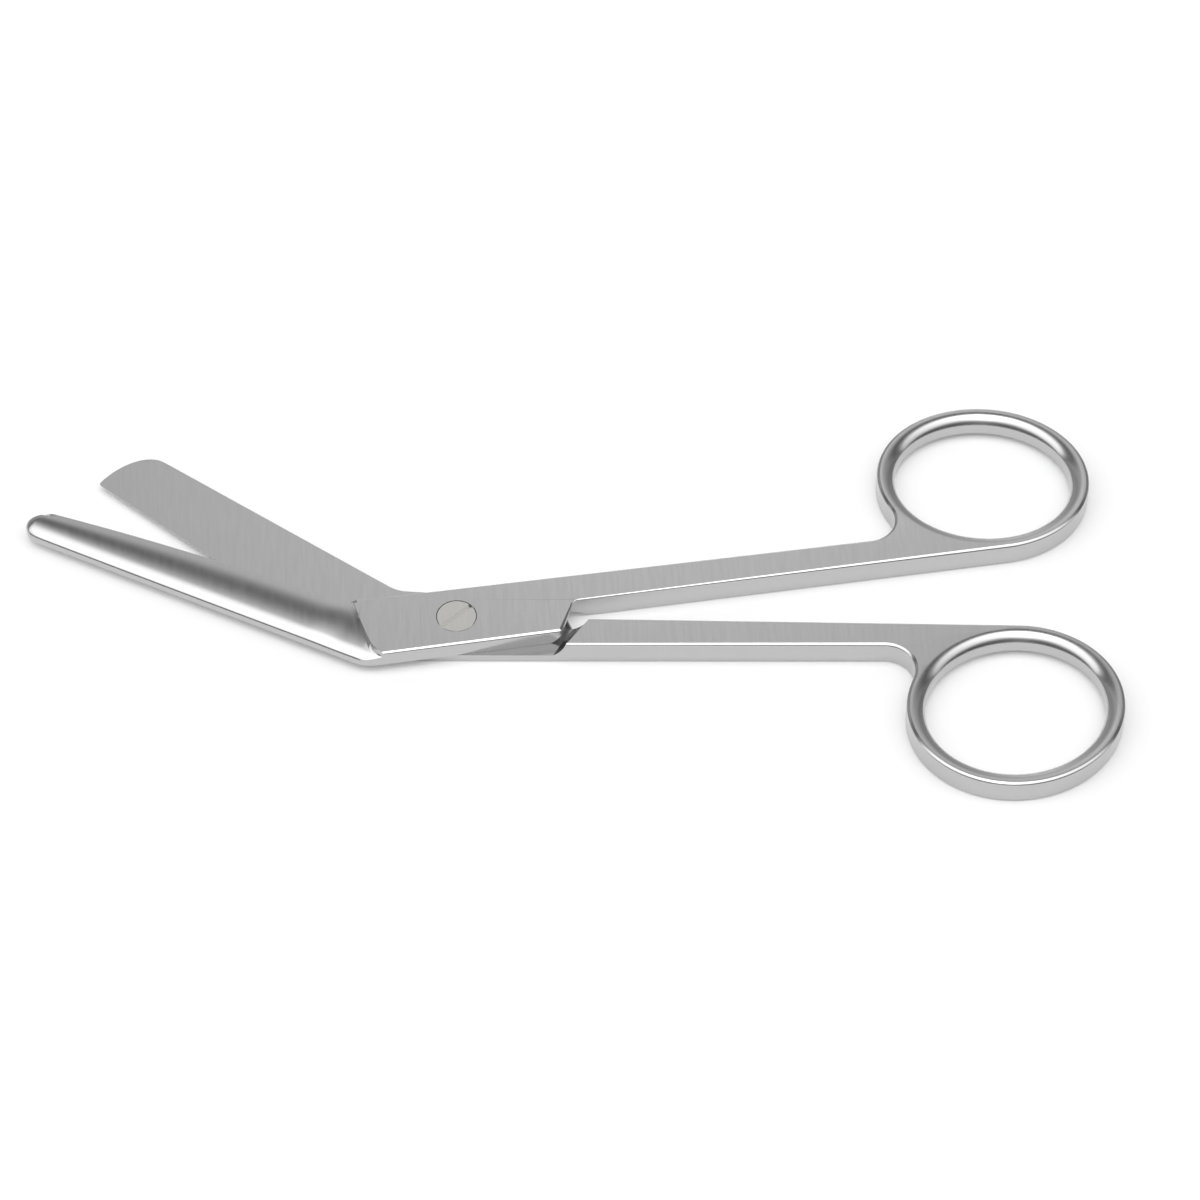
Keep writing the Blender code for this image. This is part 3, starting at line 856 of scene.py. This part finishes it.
def studio_world(strength):
    """A soft studio: a pale backdrop, a dark band above it, a bright softbox overhead, dim sides.

    The backdrop is what the flat faces show, and the band and the softbox are what the rounds show.
    """
    world = bpy.data.worlds.new("soft_studio")
    world.use_nodes = True
    tree = world.node_tree
    tree.nodes.clear()
    forward = -CAMERA_OFFSET.xy.normalized()
    direction = add_node(tree, "ShaderNodeTexCoord").outputs["Generated"]
    parts = add_node(tree, "ShaderNodeSeparateXYZ", None, None, {"Vector": direction})
    ahead = add_node(tree, "ShaderNodeVectorMath", {"operation": "DOT_PRODUCT"},
                     {1: (forward.x, forward.y, 0.0)}, {0: direction})
    turn = add_node(tree, "ShaderNodeMath", {"operation": "ARCTAN2"}, None,
                    {0: parts.outputs["Z"], 1: ahead.outputs["Value"]})
    turn_share = add_node(tree, "ShaderNodeMath", {"operation": "DIVIDE"}, {1: math.pi},
                          {0: turn.outputs[0]})
    levels = ramp_of(tree, turn_share.outputs[0], STUDIO_LEVELS, 0.0, 180.0)

    aside = add_node(tree, "ShaderNodeVectorMath", {"operation": "DOT_PRODUCT"},
                     {1: (forward.y, -forward.x, 0.0)}, {0: direction})
    lean = add_node(tree, "ShaderNodeMath", {"operation": "ARCSINE"}, None,
                    {0: aside.outputs["Value"]})
    side_share = add_node(tree, "ShaderNodeMath", {"operation": "MULTIPLY_ADD"},
                          {1: 1.0 / math.pi, 2: 0.5}, {0: lean.outputs[0]})
    sides = ramp_of(tree, side_share.outputs[0], STUDIO_SIDES, -90.0, 90.0)

    both = add_node(tree, "ShaderNodeVectorMath", {"operation": "MULTIPLY"}, None,
                    {0: levels, 1: sides})
    brightest = max(level for _, level in STUDIO_LEVELS)
    background = add_node(tree, "ShaderNodeBackground", None, {"Strength": strength * brightest},
                          {"Color": both.outputs["Vector"]})
    add_node(tree, "ShaderNodeOutputWorld", None, None, {"Surface": background.outputs[0]})
    return world


class ScissorsSettings(bpy.types.PropertyGroup):
    """What a user would change about the look."""

    steel_colour: bpy.props.StringProperty(
        name="Steel colour", description="sRGB hex colour of the ground steel", default="C0C0C0")
    steel_roughness: bpy.props.FloatProperty(
        name="Steel roughness", description="How soft the sheen of the halves is", default=0.22,
        min=0.0, max=1.0, subtype="FACTOR")
    light_strength: bpy.props.FloatProperty(
        name="Light", description="How bright the studio is", default=1.1, min=0.0)
    floor_colour: bpy.props.StringProperty(
        name="Floor colour", description="sRGB hex colour of the floor", default="EEEEEE")
    floor_glow: bpy.props.FloatProperty(
        name="Floor glow", description="How much the light table under the card shines through",
        default=0.16, min=0.0)


class SCISSORS_OT_upper_half(bpy.types.Operator):
    """Makes the upper half, with the domed blade"""

    bl_idname = "scissors.upper_half"
    bl_label = "Upper half"

    def execute(self, context):
        settings = context.scene.scissors
        steel = satin_ground_steel("satin_ground_steel_upper", settings.steel_colour,
                                   settings.steel_roughness)
        placement = Matrix.Rotation(OPENING / 2.0, 4, "Z")
        piece = make_half("dressed_upper_half", UPPER, True, placement, steel)
        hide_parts("upper_half")
        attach(piece, "upper")
        return {"FINISHED"}


class SCISSORS_OT_lower_half(bpy.types.Operator):
    """Makes the lower half, with the flat blade"""

    bl_idname = "scissors.lower_half"
    bl_label = "Lower half"

    def execute(self, context):
        settings = context.scene.scissors
        steel = satin_ground_steel("satin_ground_steel_lower", settings.steel_colour,
                                   settings.steel_roughness)
        turn = Euler((math.pi, 0.0, -OPENING / 2.0)).to_matrix().to_4x4()
        placement = Matrix.Translation((0.0, 0.0, THICKNESS)) @ turn
        piece = make_half("dressed_lower_half", LOWER, False, placement, steel)
        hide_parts("lower_half")
        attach(piece, "lower")
        return {"FINISHED"}


class SCISSORS_OT_pivot_screw(bpy.types.Operator):
    """Makes the slotted pivot screw"""

    bl_idname = "scissors.pivot_screw"
    bl_label = "Pivot screw"

    def execute(self, context):
        rim = THICKNESS - SCREW_HEAD_RIM
        chamfered = SCREW_HEAD_RADIUS - SCREW_CHAMFER
        body = turned_solid([
            (0.0, THICKNESS),
            (chamfered, THICKNESS),
            (SCREW_HEAD_RADIUS, THICKNESS - SCREW_CHAMFER),
            (SCREW_HEAD_RADIUS, rim),
            (SCREW_SHANK_RADIUS, rim - SCREW_CONE_DEPTH),
            (SCREW_SHANK_RADIUS, 0.0),
            (0.0, 0.0),
        ])
        slot_size = Vector((4.0 * SCREW_HEAD_RADIUS, SLOT_WIDTH, 2.0 * SLOT_DEPTH))
        slot = bmesh.new()
        bmesh.ops.create_cube(slot, size=1.0)
        bmesh.ops.scale(slot, vec=slot_size, verts=slot.verts)
        bmesh.ops.translate(slot, vec=(0.0, 0.0, THICKNESS), verts=slot.verts)
        # Warmer and a little smoother than the halves, so the head reads as a piece of its own
        steel = satin_ground_steel("polished_screw_steel", SCREW_COLOUR, SCREW_ROUGHNESS)
        mesh = carved("dressed_pivot_screw", body, [slot])
        piece = finished_piece(mesh, Matrix.Rotation(SLOT_TURN, 4, "Z"), steel)
        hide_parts("pivot_screw")
        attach(piece, "lower")
        return {"FINISHED"}


class SCISSORS_OT_stage(bpy.types.Operator):
    """Makes the pale floor, the soft light and the camera"""

    bl_idname = "scissors.stage"
    bl_label = "Stage"

    def execute(self, context):
        scene = context.scene
        settings = scene.scissors
        bm = bmesh.new()
        bmesh.ops.create_grid(bm, x_segments=1, y_segments=1, size=FLOOR_REACH)
        floor = object_from("floor", bm)
        # A matt card on a light table: white, with pale shadows that are darkest under the steel
        material, tree = new_material("matt_white_card")
        shader = add_node(tree, "ShaderNodeBsdfPrincipled", None,
                          {"Base Color": srgb(settings.floor_colour),
                           "Roughness": FLOOR_ROUGHNESS,
                           "Emission Color": srgb(settings.floor_colour),
                           "Emission Strength": settings.floor_glow})
        add_node(tree, "ShaderNodeOutputMaterial", None, None, {"Surface": shader.outputs[0]})
        floor.data.materials.append(material)

        camera = bpy.data.objects.new("camera", bpy.data.cameras.new("camera"))
        camera.data.lens = CAMERA_LENS
        camera.data.sensor_width = CAMERA_SENSOR
        camera.location = CAMERA_TARGET + CAMERA_OFFSET
        camera.rotation_euler = (-CAMERA_OFFSET).to_track_quat("-Z", "Y").to_euler()
        scene.collection.objects.link(camera)
        scene.camera = camera

        scene.world = studio_world(settings.light_strength)
        scene.view_settings.view_transform = "Standard"
        return {"FINISHED"}


class SCISSORS_PT_panel(bpy.types.Panel):
    """Lists the pieces and their settings"""

    bl_idname = "SCISSORS_PT_panel"
    bl_label = "Episiotomy scissors"
    bl_space_type = "VIEW_3D"
    bl_region_type = "UI"
    bl_category = "Scissors"

    def draw(self, context):
        settings = context.scene.scissors
        for name in ("steel_colour", "steel_roughness", "floor_colour", "floor_glow",
                     "light_strength"):
            self.layout.prop(settings, name)
        for operator in PIECES:
            self.layout.operator(operator.bl_idname)


PIECES = (
    SCISSORS_OT_upper_half,
    SCISSORS_OT_lower_half,
    SCISSORS_OT_pivot_screw,
    SCISSORS_OT_stage,
)
CLASSES = (ScissorsSettings, *PIECES, SCISSORS_PT_panel)


def register():
    for cls in CLASSES:
        bpy.utils.register_class(cls)
    bpy.types.Scene.scissors = bpy.props.PointerProperty(type=ScissorsSettings)


def unregister():
    del bpy.types.Scene.scissors
    for cls in reversed(CLASSES):
        bpy.utils.unregister_class(cls)


def main():
    register()
    bpy.ops.scissors.upper_half()
    bpy.ops.scissors.lower_half()
    bpy.ops.scissors.pivot_screw()
    bpy.ops.scissors.stage()
    bpy.context.view_layer.update()


if __name__ == "__main__":
    main()
